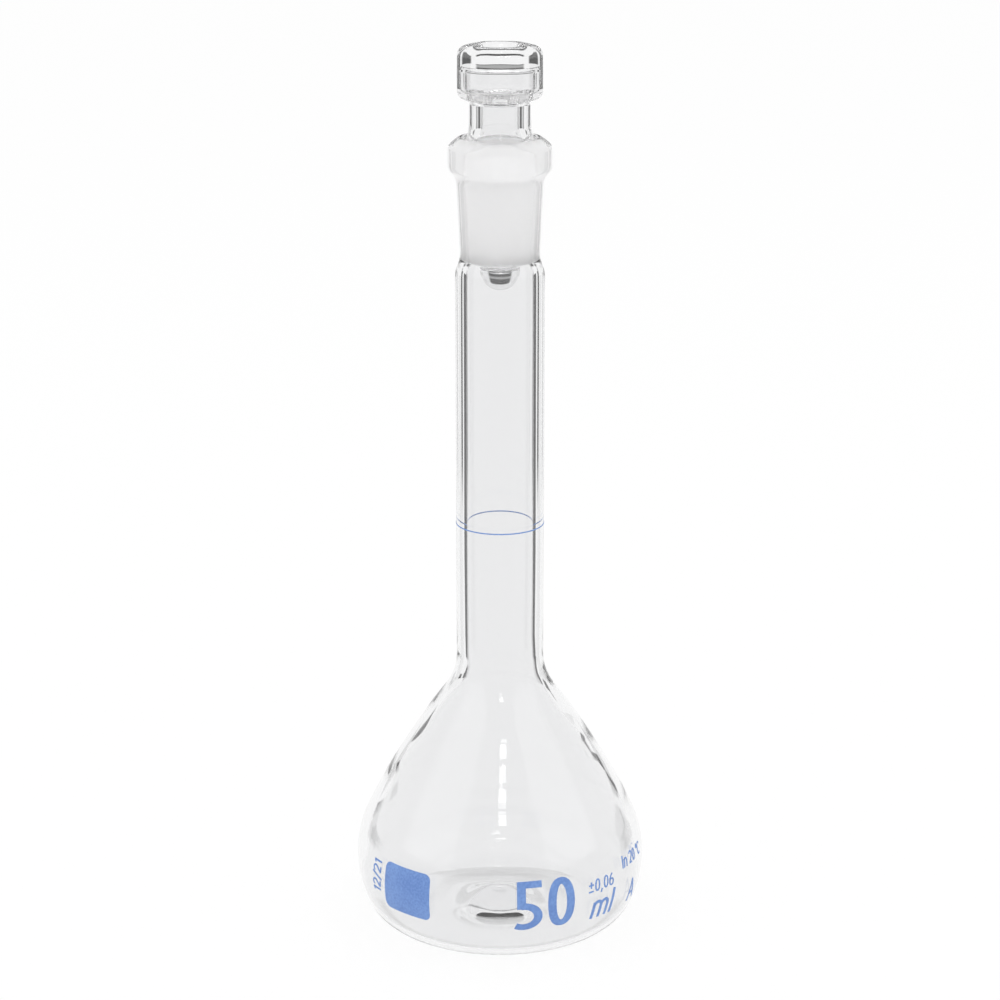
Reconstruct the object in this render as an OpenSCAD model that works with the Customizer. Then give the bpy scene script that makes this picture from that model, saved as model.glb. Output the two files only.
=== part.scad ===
// Volumetric flask of blown glass with a ground neck joint and a hollow glass stopper.
// Millimetres, +Z up. The origin is the middle of the standing ring, on the table.

/* [Bulb] */
// Largest outside diameter of the bulb.
bulb_d = 51.2; // [50.4:0.1:52]
// Height of the widest point above the table.
belly_z = 11.5; // [11:0.1:12.2]
// Radius of the belly in outline.
belly_r = 19; // [18:0.25:20]
// Radius of the rounded foot in outline.
foot_r = 6.5; // [5:0.1:8]
// Slope of the outline where the belly runs into the shoulder, in degrees.
shoulder_a = 26; // [25:0.25:27]
// Radius of the nearly straight shoulder in outline.
shoulder_r = 143; // [125:1:165]
// Radius of the hollow curve between shoulder and neck.
fillet_r = 11.3; // [9:0.1:14]
// Glass thickness of the bulb.
bulb_wall = 1.75; // [1.5:0.05:1.9]
// Width of the flat standing ring.
stand_w = 1.4; // [1:0.1:2]
// Rise of the pushed-up middle of the base.
push_up = 5.8; // [4.6:0.1:6.4]
// Radius of the pushed-up middle at its foot.
punt_r = 9; // [8:0.1:10]
// Rise of the base at the foot of its pushed-up middle.
base_lift = 0.35; // [0.2:0.05:0.6]
// Glass thickness at the middle of the base.
base_wall = 2.2; // [1.8:0.1:3]

/* [Neck] */
// Outside diameter of the neck.
neck_d = 15.2; // [14.6:0.1:15.8]
// Bore of the neck.
neck_bore_d = 11.6; // [11.2:0.1:12]
// Height of the flask from the table to the rim.
flask_h = 140; // [132:1:150]

/* [Joint] */
// Diameter of the ground taper at the rim plane.
taper_d = 12.5; // [12.3:0.1:12.7]
// Length of the ground taper below the rim plane.
taper_l = 21; // [19:0.5:22]
// Slope of the taper: change of diameter for each unit of length.
taper_slope = 0.1; // [0.09:0.005:0.11]
// Outside diameter of the rim collar.
collar_d = 17.5; // [17.1:0.1:18.5]
// Height of the collar from the rim to the start of its bevel.
collar_h = 5; // [4:0.1:6]
// Height of the bevel under the collar.
bevel_h = 2.2; // [1.6:0.1:3]
// Radius of the rounded mouth.
rim_r = 0.5; // [0.4:0.05:0.7]
// Radius of the collar's upper edge.
edge_r = 0.6; // [0.4:0.05:0.9]
// Fall of the collar's top from the mouth to its edge, in degrees.
rim_slope = 38; // [30:1:45]
// Glass thickness of the socket around the ground taper.
socket_wall = 1.45; // [1.2:0.05:1.6]
// Length of the curve from the socket to the neck.
seal_l = 3.6; // [3:0.1:5]
// Gap between the two ground faces, measured on the radius.
ground_gap = 0.03; // [0.02:0.01:0.06]

/* [Stopper] */
// Diameter of the waist under the head.
waist_d = 10.4; // [9.8:0.1:10.8]
// Height of the hollow curve from the ground cone to the waist.
flare_h = 2.3; // [1.6:0.1:2.8]
// Height of the top of the head above the rim plane.
head_top = 15.2; // [14:0.1:17]
// Height of the head.
head_h = 9.2; // [8.6:0.1:9.8]
// Diameter of the round head before its flats.
head_d = 14.3; // [14:0.1:14.8]
// Width of the head across its six flats.
head_af = 13.3; // [12.9:0.1:13.6]
// Turn of the head about its axis, in degrees.
head_turn = 0; // [-30:1:30]
// Radius of the rounded upper edge of the head.
head_edge_r = 1.9; // [1.5:0.1:2.1]
// Radius of the rounded lower edge of the head.
head_foot_r = 1.3; // [1:0.1:1.6]
// Diameter of the dish in the top of the head.
dish_d = 9; // [8:0.1:9.4]
// Depth of the dish.
dish_depth = 2.2; // [1.6:0.1:2.6]
// Glass thickness of the head at its flats, floor and top.
head_wall = 1.3; // [1.1:0.1:1.5]
// Glass thickness of the ground cone.
cone_wall = 1.6; // [1.4:0.1:1.8]
// Diameter of the hollow inside the waist.
throat_d = 6.4; // [5.6:0.1:6.8]
// Radius of the rounded tip.
tip_r = 3.4; // [3:0.1:3.8]
// Glass thickness at the end of the tip.
tip_wall = 5.2; // [4.2:0.1:6]
// Length of the clear glass from the ground cone to the middle of the tip's rounding.
tip_l = 2; // [1.4:0.1:2.4]
// Height of the rim plane above the upper end of the ground cone.
cone_drop = 0.4; // [0.3:0.05:0.8]

/* [Enamel] */
// Volume held up to the ring mark, in millilitres.
capacity = 50; // [49:0.1:52]
// Width of the ring mark.
ring_w = 0.4; // [0.3:0.05:0.6]
// Thickness of the fired enamel.
enamel_t = 0.06; // [0.04:0.01:0.1]
// Width of the writing panel around the bulb.
panel_w = 10.4; // [8:0.1:13]
// Height of the writing panel.
panel_h = 8.6; // [7:0.1:10]
// Radius of the panel's corners.
panel_r = 1.2; // [0.8:0.1:2]
// Height of the middle of the panel above the table.
panel_z = 12; // [11:0.1:14]
// Direction of the middle of the panel, in degrees from the front, seen from above.
panel_a = -40; // [-60:1:-20]

/* [Hidden] */
$fn = 96;
STEPS = 12;
EPS = 0.01;
neck_r = neck_d / 2;
bore_r = neck_bore_d / 2;
collar_r = collar_d / 2;
half_slope = taper_slope / 2;

// Points on an arc of radius r about c, from angle a0 to a1, in n steps.
function arc(c, r, a0, a1, n = STEPS) =
    [for (i = [0:n]) let (a = a0 + (a1 - a0) * i / n) c + r * [cos(a), sin(a)]];

// Points on a smooth S curve from p to q that starts and ends upright, in n steps.
function ease_up(p, q, n = STEPS) =
    [for (i = [0:n]) let (t = i / n)
        [p.x + (q.x - p.x) * (1 - cos(180 * t)) / 2, p.y + (q.y - p.y) * t]];

// Points on a smooth S curve from p to q that starts and ends level, in n steps.
function ease_out(p, q, n = STEPS) =
    [for (i = [0:n]) let (t = i / n)
        [p.x + (q.x - p.x) * t, p.y + (q.y - p.y) * (1 - cos(180 * t)) / 2]];

// A list of points turned end to end.
function back(list) = [for (i = [len(list) - 1:-1:0]) list[i]];

// Volume in cubic millimetres swept round the axis by the outline, slice by slice.
function swept(list, i = 0, sum = 0) =
    i >= len(list) - 1 ? sum
    : swept(list, i + 1, sum + PI / 3 * (list[i + 1].y - list[i].y)
        * (pow(list[i].x, 2) + list[i].x * list[i + 1].x + pow(list[i + 1].x, 2)));

// Arc centres of the bulb, shared by its outside and its inside.
belly_c = [bulb_d / 2 - belly_r, belly_z];
foot_a = asin((belly_z - foot_r) / (belly_r - foot_r));
foot_c = belly_c + (belly_r - foot_r) * [cos(foot_a), -sin(foot_a)];
shoulder_c = belly_c - (shoulder_r - belly_r) * [cos(shoulder_a), sin(shoulder_a)];

// Angle on the shoulder arc where a hollow curve of radius f takes over, for a tube of radius r.
function join_a(r, f, w) = acos((r + f - shoulder_c.x) / (shoulder_r - w + f));

// Bulb outline from the foot to the neck, set in by a wall w, for a tube of radius r.
function pear(w, r, f) =
    let (a = join_a(r, f, w), fc = shoulder_c + (shoulder_r - w + f) * [cos(a), sin(a)])
    concat(
        arc(foot_c, foot_r - w, -90, -foot_a),
        arc(belly_c, belly_r - w, -foot_a, shoulder_a, 2 * STEPS),
        arc(shoulder_c, shoulder_r - w, shoulder_a, a, 4),
        arc(fc, f, 180 + a, 180)
    );

pear_out = pear(0, neck_r, fillet_r);
pear_in = pear(bulb_wall, bore_r, fillet_r + bulb_wall);
stand_r = foot_c.x;

// Inside of the bulb, and the height at which it and the neck hold the stated volume.
floor_p = [punt_r + 0.6, base_lift + base_wall - 0.15];
base_in = concat(ease_out([0, push_up + base_wall], floor_p), ease_out(floor_p, [stand_r, bulb_wall]));
inside = concat(base_in, pear_in);
inside_top = inside[len(inside) - 1].y;
full_z = inside_top + (capacity * 1000 - swept(inside)) / (PI * bore_r * bore_r);

// Joint: radius of the taper at a height z, and the heights of its ends.
function taper_r(z) = taper_d / 2 - (flask_h - z) * half_slope;
ground_lo = flask_h - taper_l;
ground_hi = flask_h - rim_r;
seal_hi = ground_lo + 1.2;
seal_lo = seal_hi - seal_l;

// Ring mark: at that height, kept on the plain part of the neck.
ring_z = max(inside_top + 3, min(seal_lo - 3, full_z));

// Stopper heights and radii.
head_hi = flask_h + head_top;
head_lo = head_hi - head_h;
cone_hi = flask_h - cone_drop;
cone_lo = ground_lo + 0.5;
cone_top_r = taper_r(cone_hi) - ground_gap;
cone_end_r = taper_r(cone_lo) - ground_gap;
waist_r = waist_d / 2;
head_r = head_d / 2;
tip_c = [0, cone_lo - tip_l];
tip_end = tip_c.y - tip_r;

// Bulb and neck: one blown wall with a pushed-up base and a flat standing ring.
module flask_body() {
    foot_p = [punt_r, base_lift];
    base_out = concat(ease_out([0, push_up], foot_p), ease_out(foot_p, [stand_r - stand_w, 0]));
    color([0.9, 0.95, 0.95, 0.35])
        rotate_extrude()
            polygon(concat(
                base_out,
                pear_out,
                [[neck_r, seal_lo], [bore_r, seal_lo]],
                back(inside)
            ));
}

// Heavy socket sealed to the neck: collar with a sloping top outside, ground taper inside.
module joint_socket() {
    wall_hi = flask_h - collar_h - bevel_h;
    mouth_c = [taper_r(ground_hi) + rim_r, ground_hi];
    lean = 90 - rim_slope;
    run = (collar_r - edge_r - mouth_c.x - (rim_r - edge_r) * cos(lean)) / sin(lean);
    edge_c = mouth_c + run * [sin(lean), -cos(lean)] + (rim_r - edge_r) * [cos(lean), sin(lean)];
    color([0.85, 0.87, 0.88, 0.7])
        rotate_extrude()
            polygon(concat(
                ease_up([neck_r, seal_lo], [taper_r(seal_hi) + socket_wall, seal_hi]),
                [[taper_r(wall_hi) + socket_wall, wall_hi]],
                ease_up([taper_r(wall_hi) + socket_wall + 0.2, wall_hi + 0.1],
                    [collar_r, flask_h - collar_h]),
                arc(edge_c, edge_r, 0, lean),
                arc(mouth_c, rim_r, lean, 180),
                back(ease_up([bore_r, seal_lo], [taper_r(ground_lo), ground_lo]))
            ));
}

// Ring mark fired on the neck.
module graduation_ring() {
    color([0.2, 0.35, 0.7])
        translate([0, 0, ring_z - ring_w / 2])
            difference() {
                cylinder(h = ring_w, r = neck_r + enamel_t);
                translate([0, 0, -EPS])
                    cylinder(h = ring_w + 2 * EPS, r = neck_r);
            }
}

// Outline of the writing panel: a rectangle with round corners.
module panel_outline() {
    dx = panel_w / 2 - panel_r;
    dy = panel_h / 2 - panel_r;
    square([panel_w, 2 * dy], center = true);
    square([2 * dx, panel_h], center = true);
    for (x = [-dx, dx])
        for (y = [-dy, dy])
            translate([x, y])
                circle(panel_r);
}

// Writing panel fired on the belly, a skin that follows the bulb.
module writing_panel() {
    color([0.25, 0.4, 0.75])
        rotate([0, 0, panel_a])
            intersection() {
                rotate_extrude()
                    polygon(concat(pear(-enamel_t, neck_r, fillet_r), back(pear_out)));
                translate([0, 0, panel_z])
                    rotate([90, 0, 0])
                        linear_extrude(height = bulb_d)
                            panel_outline();
            }
}

// Outside of the stopper: tip, ground cone, waist and dished round head.
function stopper_out() =
    let (foot = [head_r - head_foot_r, head_lo + head_foot_r])
    let (edge = [head_r - head_edge_r, head_hi - head_edge_r])
    concat(
        arc(tip_c, tip_r, -90, 0),
        ease_up([tip_r, tip_c.y], [cone_end_r, cone_lo]),
        [for (i = [0:STEPS]) let (a = 90 * i / STEPS)
            [waist_r + (cone_top_r - waist_r) * (1 - sin(a)), cone_hi + flare_h * (1 - cos(a))]],
        arc([waist_r + 0.4, head_lo - 0.4], 0.4, 180, 90, 4),
        arc(foot, head_foot_r, -90, 0),
        arc(edge, head_edge_r, 0, 90),
        back(ease_out([0, head_hi - dish_depth], [dish_d / 2, head_hi]))
    );

// Hollow of the stopper: inside the cone, through the waist and up into the head.
function stopper_in() =
    let (throat_r = throat_d / 2, room_r = head_af / 2 - head_wall)
    let (room_lo = head_lo + head_wall, room_hi = head_hi - dish_depth - head_wall)
    let (end_c = [0, tip_end + tip_wall + cone_end_r - cone_wall], plug_hi = flask_h - 3)
    concat(
        arc(end_c, cone_end_r - cone_wall, -90, 0),
        ease_up([taper_r(plug_hi) - ground_gap - cone_wall, plug_hi], [throat_r, cone_hi + flare_h]),
        arc([throat_r + 0.8, room_lo - 0.8], 0.8, 180, 90, 6),
        arc([room_r - 1, room_lo + 1], 1, -90, 0, 6),
        arc([room_r - 1.2, room_hi - 1.2], 1.2, 0, 90, 6),
        [[0, room_hi]]
    );

// Hollow blown stopper: dished six-sided head, waist, ground cone and closed round tip.
module stopper() {
    color([0.88, 0.92, 0.92, 0.45])
        intersection() {
            rotate_extrude()
                difference() {
                    polygon(stopper_out());
                    polygon(stopper_in());
                }
            union() {
                translate([0, 0, tip_end - 1])
                    cylinder(h = head_lo - tip_end + 0.6, r = head_r + 1);
                translate([0, 0, head_lo - 0.5])
                    rotate(head_turn)
                        cylinder(h = head_h + 1, r = head_af / 2 / cos(30), $fn = 6);
            }
        }
}

flask_body();
joint_socket();
graduation_ring();
writing_panel();
stopper();
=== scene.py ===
"""Looks of a volumetric flask: clear blown glass, a ground taper joint, a hollow stopper and fired blue marks.

The flask's sizes are in millimetres until a mesh is made, the studio's in metres. Blender's frame is the one of
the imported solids: the origin is the middle of the standing ring, +Z runs up the flask and the printed side looks
along -Y.
"""

import logging
import math
from dataclasses import dataclass, field
from enum import Enum
from functools import reduce
from typing import Callable, Optional, Sequence

import bpy
import numpy as np
from mathutils import Matrix, Vector


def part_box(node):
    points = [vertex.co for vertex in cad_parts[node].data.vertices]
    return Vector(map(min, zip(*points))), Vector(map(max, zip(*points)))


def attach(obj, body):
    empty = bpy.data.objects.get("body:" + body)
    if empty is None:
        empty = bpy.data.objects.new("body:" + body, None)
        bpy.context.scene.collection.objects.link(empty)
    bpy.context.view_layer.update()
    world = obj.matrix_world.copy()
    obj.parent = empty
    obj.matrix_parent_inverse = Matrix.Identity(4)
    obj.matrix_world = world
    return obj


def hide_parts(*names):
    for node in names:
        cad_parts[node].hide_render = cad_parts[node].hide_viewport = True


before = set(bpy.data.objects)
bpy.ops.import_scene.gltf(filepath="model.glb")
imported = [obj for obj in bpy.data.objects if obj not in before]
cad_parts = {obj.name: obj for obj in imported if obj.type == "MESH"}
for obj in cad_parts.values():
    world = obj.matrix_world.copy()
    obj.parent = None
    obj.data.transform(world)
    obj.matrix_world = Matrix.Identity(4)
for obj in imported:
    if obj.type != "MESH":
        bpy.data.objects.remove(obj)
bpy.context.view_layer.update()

LOG = logging.getLogger("flask")
MM = 1e-3
Array = np.ndarray
Triple = tuple[float, float, float]
Point = Span = tuple[float, float]
Shape = Callable[[Array, Array, Array], Array]
Material = bpy.types.Material
Socket = bpy.types.NodeSocket


class Body(Enum):
    """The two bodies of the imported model."""

    FLASK = "flask"
    STOPPER = "stopper"


class Slot(Enum):
    """The material slots of the record."""

    CLEAR = "clear_glass"
    STOPPER = "stopper_glass"
    ENAMEL = "blue_enamel"


# Outlines: points (radius, height) in millimetres


def arc(centre: Sequence[float], radius: float, start: float, end: float, count: int = 49) -> Array:
    """Points on a circle, from one angle to another.

    Args:
        centre: Middle of the circle.
        radius: Its radius.
        start: First angle in degrees, 0 along the radius axis and 90 upwards.
        end: Last angle in degrees.
        count: Number of points.

    Returns:
        An array of points (radius, height).
    """
    a = np.radians(np.linspace(start, end, count))
    return np.c_[centre[0] + radius * np.cos(a), centre[1] + radius * np.sin(a)]


def ease_up(low: Point, high: Point, count: int = 49) -> Array:
    """A soft step between two upright walls: the radius follows half a cosine wave as the height runs evenly.

    Args:
        low: Point where the step starts.
        high: Point where it ends.
        count: Number of points.

    Returns:
        An array of points (radius, height).
    """
    t = np.linspace(0.0, 1.0, count)
    wave = (1 - np.cos(np.pi * t)) / 2
    return np.c_[low[0] + (high[0] - low[0]) * wave, low[1] + (high[1] - low[1]) * t]


def ease_out(inner: Point, outer: Point, count: int = 65) -> Array:
    """A soft step between two level floors: as `ease_up`, with the roles of radius and height swapped."""
    return ease_up(inner[::-1], outer[::-1], count)[:, ::-1]


def run_along(outline: Array) -> Array:
    """Length from the first point of an outline to each of its points."""
    return np.r_[0.0, np.cumsum(np.hypot(*np.diff(outline, axis=0).T))]


def evened(outline: Array, step: float) -> Array:
    """The outline with points at even distances along it.

    Args:
        outline: Points in order; repeated ones are dropped.
        step: Distance between points.

    Returns:
        The new points, with the same first and last one.
    """
    run = run_along(outline)
    new = np.r_[True, np.diff(run) > 1e-9]
    outline, run = outline[new], run[new]
    at = np.linspace(0.0, run[-1], max(int(round(run[-1] / step)), 8) + 1)
    return np.c_[np.interp(at, run, outline[:, 0]), np.interp(at, run, outline[:, 1])]


def softened(outline: Array, rounds: int) -> Array:
    """The outline with its corners rounded as by a flame: each point moves half way to its neighbours' mean.

    Args:
        outline: Points at even distances.
        rounds: How often this is done.

    Returns:
        The rounded points; the first and the last stay.
    """
    soft = outline.copy()
    for _ in range(rounds):
        soft[1:-1] = 0.25 * soft[:-2] + 0.5 * soft[1:-1] + 0.25 * soft[2:]
    return soft


def thinned(outline: Array, turn: float, reach: float) -> Array:
    """Fewer points, close together where the outline bends and far apart where it is straight.

    Each step adds its length over `reach` and its bend over `turn`, and a point is kept whenever that sum
    passes another whole number.

    Args:
        outline: Points at even distances.
        turn: Bend in degrees that earns one point.
        reach: Length in millimetres that earns one point.

    Returns:
        The kept points, with the first and the last.
    """
    step = np.diff(outline, axis=0)
    heading = np.unwrap(np.arctan2(step[:, 1], step[:, 0]))
    bend = np.degrees(np.abs(np.diff(heading, prepend=heading[0])))
    worth = np.r_[0.0, np.cumsum(np.hypot(*step.T) / reach + bend / turn)]
    count = int(math.ceil(worth[-1])) + 1
    return outline[np.unique(np.searchsorted(worth, np.linspace(0.0, worth[-1], count)))]


@dataclass(frozen=True)
class Spacing:
    """How an outline's points are set: even steps, corners rounded, then thinned where it is straight."""

    step: float
    rounds: int
    turn: float
    reach: float

    def of(self, outline: Array) -> Array:
        """The outline with its points set."""
        return thinned(softened(evened(outline, self.step), self.rounds), self.turn, self.reach)


# Surfaces


@dataclass
class Shell:
    """A closed surface: points, faces and the row of the grid that each face lies in."""

    points: Array
    faces: list[list[int]]
    rows: Array

    def joined(self, other: "Shell") -> "Shell":
        """Both surfaces as one, the other's faces after this one's."""
        shift = len(self.points)
        more = [[k + shift for k in face] for face in other.faces]
        return Shell(np.vstack([self.points, other.points]), self.faces + more, np.r_[self.rows, other.rows])


def grid_faces(rows: int, columns: int, wrap_rows: bool) -> tuple[Array, Array]:
    """Faces of a grid that closes on itself from the last column to the first.

    Args:
        rows: Number of rows of points.
        columns: Points in a row.
        wrap_rows: Whether the last row joins the first as well.

    Returns:
        The quads, and the row that each lies in.
    """
    i, j = np.meshgrid(np.arange(rows if wrap_rows else rows - 1), np.arange(columns), indexing="ij")
    up, on = (i + 1) % rows, (j + 1) % columns
    quads = np.stack([i * columns + j, i * columns + on, up * columns + on, up * columns + j], axis=-1)
    return quads.reshape(-1, 4), i.reshape(-1)


def capped(ring_points: Array, first: Array, last: Array) -> Shell:
    """A surface of closed rings with one point at each end.

    Args:
        ring_points: Array of rows by columns by three coordinates.
        first: Pole before the first ring.
        last: Pole after the last ring.

    Returns:
        The closed surface; rows count from the first pole's fan.
    """
    rows, columns = ring_points.shape[:2]
    quads, lies = grid_faces(rows, columns, False)
    j = np.arange(columns)
    on = (j + 1) % columns
    start, end = rows * columns, rows * columns + 1
    low = np.stack([np.full(columns, start), on, j], axis=-1)
    high = np.stack([start - columns + j, start - columns + on, np.full(columns, end)], axis=-1)
    points = np.vstack([ring_points.reshape(-1, 3), first[None], last[None]])
    lies = np.r_[np.zeros(columns, int), lies + 1, np.full(columns, rows)]
    return Shell(points, low.tolist() + quads.tolist() + high.tolist(), lies)


def about_axis(r: Array, a: Array, z: Array) -> Array:
    """Points in metres at radius r and height z, with the angle a from the front to the right."""
    return np.stack([r * np.sin(a), -r * np.cos(a), z], axis=-1) * MM


def revolved(outline: Array, sides: int, shape: Optional[Shape] = None) -> Shell:
    """An outline turned about the flask's axis, from one point on the axis to another.

    With a shape, each radius r is first replaced by shape(r, z, a) at its height z and angle a.

    Args:
        outline: Points (radius, height); the first and the last lie on the axis.
        sides: Number of points around.
        shape: Function that changes the radius around the axis.

    Returns:
        The closed surface, in metres. Its faces look to the right of the outline's way out from the axis.
    """
    a = np.linspace(0.0, 2 * np.pi, sides, endpoint=False)
    r = np.repeat(outline[1:-1, :1], sides, axis=1)
    z = np.repeat(outline[1:-1, 1:], sides, axis=1)
    if shape is not None:
        r = shape(r, z, a[None])
    rings = about_axis(r, a, z)
    ends = [np.array([0.0, 0.0, outline[k, 1] * MM]) for k in (0, -1)]
    return capped(rings, *ends)


def make_piece(name: str, shell: Shell, materials: Sequence[Material],
               choice: Optional[Array] = None) -> bpy.types.Object:
    """A smooth mesh object at the origin.

    Args:
        name: Name of the piece.
        shell: Its surface, in metres.
        materials: Its materials.
        choice: Which of them each face takes; the first one by default.

    Returns:
        The new object, linked to the scene.
    """
    mesh = bpy.data.meshes.new(name)
    mesh.from_pydata(shell.points.tolist(), [], shell.faces)
    mesh.polygons.foreach_set("use_smooth", np.ones(len(shell.faces), bool))
    for material in materials:
        mesh.materials.append(material)
    if choice is not None:
        mesh.polygons.foreach_set("material_index", choice.astype(np.int32))
    mesh.validate()
    mesh.update()
    piece = bpy.data.objects.new(name, mesh)
    bpy.context.scene.collection.objects.link(piece)
    return piece


def install(piece: bpy.types.Object, body: Body, slot: Slot, *nodes: str) -> None:
    """Sets a piece on its body, hides the solids that it stands for, and reports it.

    Args:
        piece: The new piece.
        body: The body that carries it.
        slot: The record's material slot; not used.
        nodes: Solids that it replaces.
    """
    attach(piece, body.value)
    if nodes:
        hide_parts(*nodes)
    LOG.info("%s: %d faces, rides on %s", piece.name, len(piece.data.polygons), body.value)


# Finishes


class Nodes:
    """A short way to write a material's or the world's nodes."""

    def __init__(self, tree: bpy.types.NodeTree) -> None:
        """Takes the tree and empties it."""
        self.tree = tree
        tree.nodes.clear()

    def add(self, kind: str, **inputs: object) -> bpy.types.Node:
        """A new node with some inputs set.

        Args:
            kind: Blender's name of the node.
            inputs: Values or sockets by input name, spaces written as underscores.

        Returns:
            The node.
        """
        node = self.tree.nodes.new(kind)
        for name, value in inputs.items():
            self.put(node.inputs[name.replace("_", " ")], value)
        return node

    def put(self, socket: Socket, value: object) -> None:
        """Links a socket to an input, or sets the input to a plain value."""
        if isinstance(value, Socket):
            self.tree.links.new(value, socket)
        else:
            socket.default_value = value

    def math(self, operation: str, *values: object) -> Socket:
        """The result of one sum, product or other step of arithmetic on sockets or numbers."""
        node = self.tree.nodes.new("ShaderNodeMath")
        node.operation = operation
        for socket, value in zip(node.inputs, values):
            self.put(socket, value)
        return node.outputs[0]

    def mix(self, first: object, second: object, share: float) -> Socket:
        """The sum of two values, the second by its share and the first by the rest."""
        return self.math("ADD", self.math("MULTIPLY", first, 1.0 - share), self.math("MULTIPLY", second, share))

    def glossy(self, **inputs: object) -> None:
        """Ends the tree with a principled shader of these inputs."""
        shader = self.add("ShaderNodeBsdfPrincipled", **inputs)
        self.add("ShaderNodeOutputMaterial", Surface=shader.outputs["BSDF"])

    def ramp(self, value: object, low: float, high: float, start: float = 0.0,
             end: float = 1.0) -> Socket:
        """A smooth step from start to end while the value goes from low to high.

        Args:
            value: Socket or number that is read.
            low: Value at which the step starts.
            high: Value at which it ends.
            start: Result below.
            end: Result above.

        Returns:
            The result's socket.
        """
        node = self.tree.nodes.new("ShaderNodeMapRange")
        node.interpolation_type = "SMOOTHSTEP"
        for name, number in zip(("From Min", "From Max", "To Min", "To Max"), (low, high, start, end)):
            node.inputs[name].default_value = number
        self.put(node.inputs["Value"], value)
        return node.outputs["Result"]

    def noise(self, where: Socket, scale: float, detail: float = 2.0,
              stretch: Sequence[float] = (1.0, 1.0, 1.0)) -> Socket:
        """Cloudy noise on Object coordinates.

        Args:
            where: Coordinates in metres.
            scale: Patches per metre.
            detail: Octaves of finer noise.
            stretch: Extra scale along each axis.

        Returns:
            The noise's value, about 0 to 1.
        """
        spot = self.add("ShaderNodeMapping", Vector=where, Scale=tuple(stretch))
        node = self.add("ShaderNodeTexNoise", Vector=spot.outputs["Vector"], Scale=scale, Detail=detail)
        return node.outputs["Fac"]


def new_material(name: str) -> tuple[Material, Nodes, Socket]:
    """An empty material.

    Args:
        name: Its name.

    Returns:
        The material, its nodes and the socket of Object coordinates.
    """
    material = bpy.data.materials.new(name)
    material.use_nodes = True
    nodes = Nodes(material.node_tree)
    return material, nodes, nodes.add("ShaderNodeTexCoord").outputs["Object"]


# Most of the noise's values lie in this span
NOISE_SPAN = (0.3, 0.7)
GLASS_IOR = 1.473


@dataclass(frozen=True)
class BlownGlass:
    """Clear glass, fire polished, with the faint waves of a blown wall."""

    name: str
    tint: Triple = (0.905, 0.906, 0.91)
    ior: float = GLASS_IOR
    waves_per_metre: float = 70.0
    wave_height: float = 1.6e-5
    wave_detail: float = 0.5
    wave_stretch: Triple = (1.0, 1.0, 0.45)

    def material(self) -> Material:
        """A refracting material whose surface waves come from slow noise."""
        material, nodes, where = new_material(self.name)
        wave = nodes.noise(where, self.waves_per_metre, self.wave_detail, self.wave_stretch)
        bump = nodes.add("ShaderNodeBump", Strength=1.0, Distance=self.wave_height, Height=wave)
        nodes.glossy(Base_Color=(*self.tint, 1.0), Roughness=0.0, IOR=self.ior, Transmission_Weight=1.0,
                     Normal=bump.outputs["Normal"])
        return material


@dataclass(frozen=True)
class GroundGlass:
    """Glass ground with grit: bright, scattering, with fine rings from the grinding."""

    name: str
    tint: Triple = (0.985, 0.983, 0.983)
    ior: float = GLASS_IOR
    clear: float = 0.3
    rough: Span = (0.46, 0.6)
    grit_per_metre: float = 5200.0
    rings_per_metre: float = 240.0
    rings_stretch: Triple = (0.2, 0.2, 6.0)
    rings_high: float = 0.6
    grit_high: float = 1.2e-5

    def material(self) -> Material:
        """A rough refracting material with some white scatter, its roughness and bump from grit and rings."""
        material, nodes, where = new_material(self.name)
        grit = nodes.noise(where, self.grit_per_metre, 3.0)
        rings = nodes.noise(where, self.rings_per_metre, 2.0, self.rings_stretch)
        rough = nodes.ramp(nodes.mix(grit, rings, 0.5), *NOISE_SPAN, *self.rough)
        height = nodes.math("ADD", grit, nodes.math("MULTIPLY", rings, self.rings_high))
        bump = nodes.add("ShaderNodeBump", Strength=0.6, Distance=self.grit_high, Height=height)
        nodes.glossy(Base_Color=(*self.tint, 1.0), Roughness=rough, IOR=self.ior, Transmission_Weight=self.clear,
                     Normal=bump.outputs["Normal"])
        return material


@dataclass(frozen=True)
class FiredEnamel:
    """Blue enamel printed through a screen and fired: grainy, with a soft gloss."""

    name: str
    light: Triple = (0.168, 0.297, 0.611)
    deep: Triple = (0.104, 0.207, 0.504)
    grain_per_metre: float = 2600.0
    cloud_per_metre: float = 260.0
    cloud_share: float = 0.32
    blend_span: Span = (0.34, 0.66)
    rough: Span = (0.34, 0.52)
    grain_high: float = 1.0e-5
    ior: float = 1.5

    def material(self) -> Material:
        """An opaque glaze whose colour, gloss and height follow a fine grain and slow clouds."""
        material, nodes, where = new_material(self.name)
        grain = nodes.noise(where, self.grain_per_metre, 3.0)
        cloud = nodes.noise(where, self.cloud_per_metre, 2.0)
        blend = nodes.ramp(nodes.mix(grain, cloud, self.cloud_share), *self.blend_span)
        colour = nodes.add("ShaderNodeMix")
        colour.data_type = "RGBA"
        nodes.put(colour.inputs[0], blend)
        nodes.put(colour.inputs[6], (*self.deep, 1.0))
        nodes.put(colour.inputs[7], (*self.light, 1.0))
        rough = nodes.ramp(grain, *NOISE_SPAN, *self.rough)
        bump = nodes.add("ShaderNodeBump", Strength=0.5, Distance=self.grain_high, Height=grain)
        nodes.glossy(Base_Color=colour.outputs[2], Roughness=rough, IOR=self.ior, Normal=bump.outputs["Normal"])
        return material


# The flask


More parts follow.
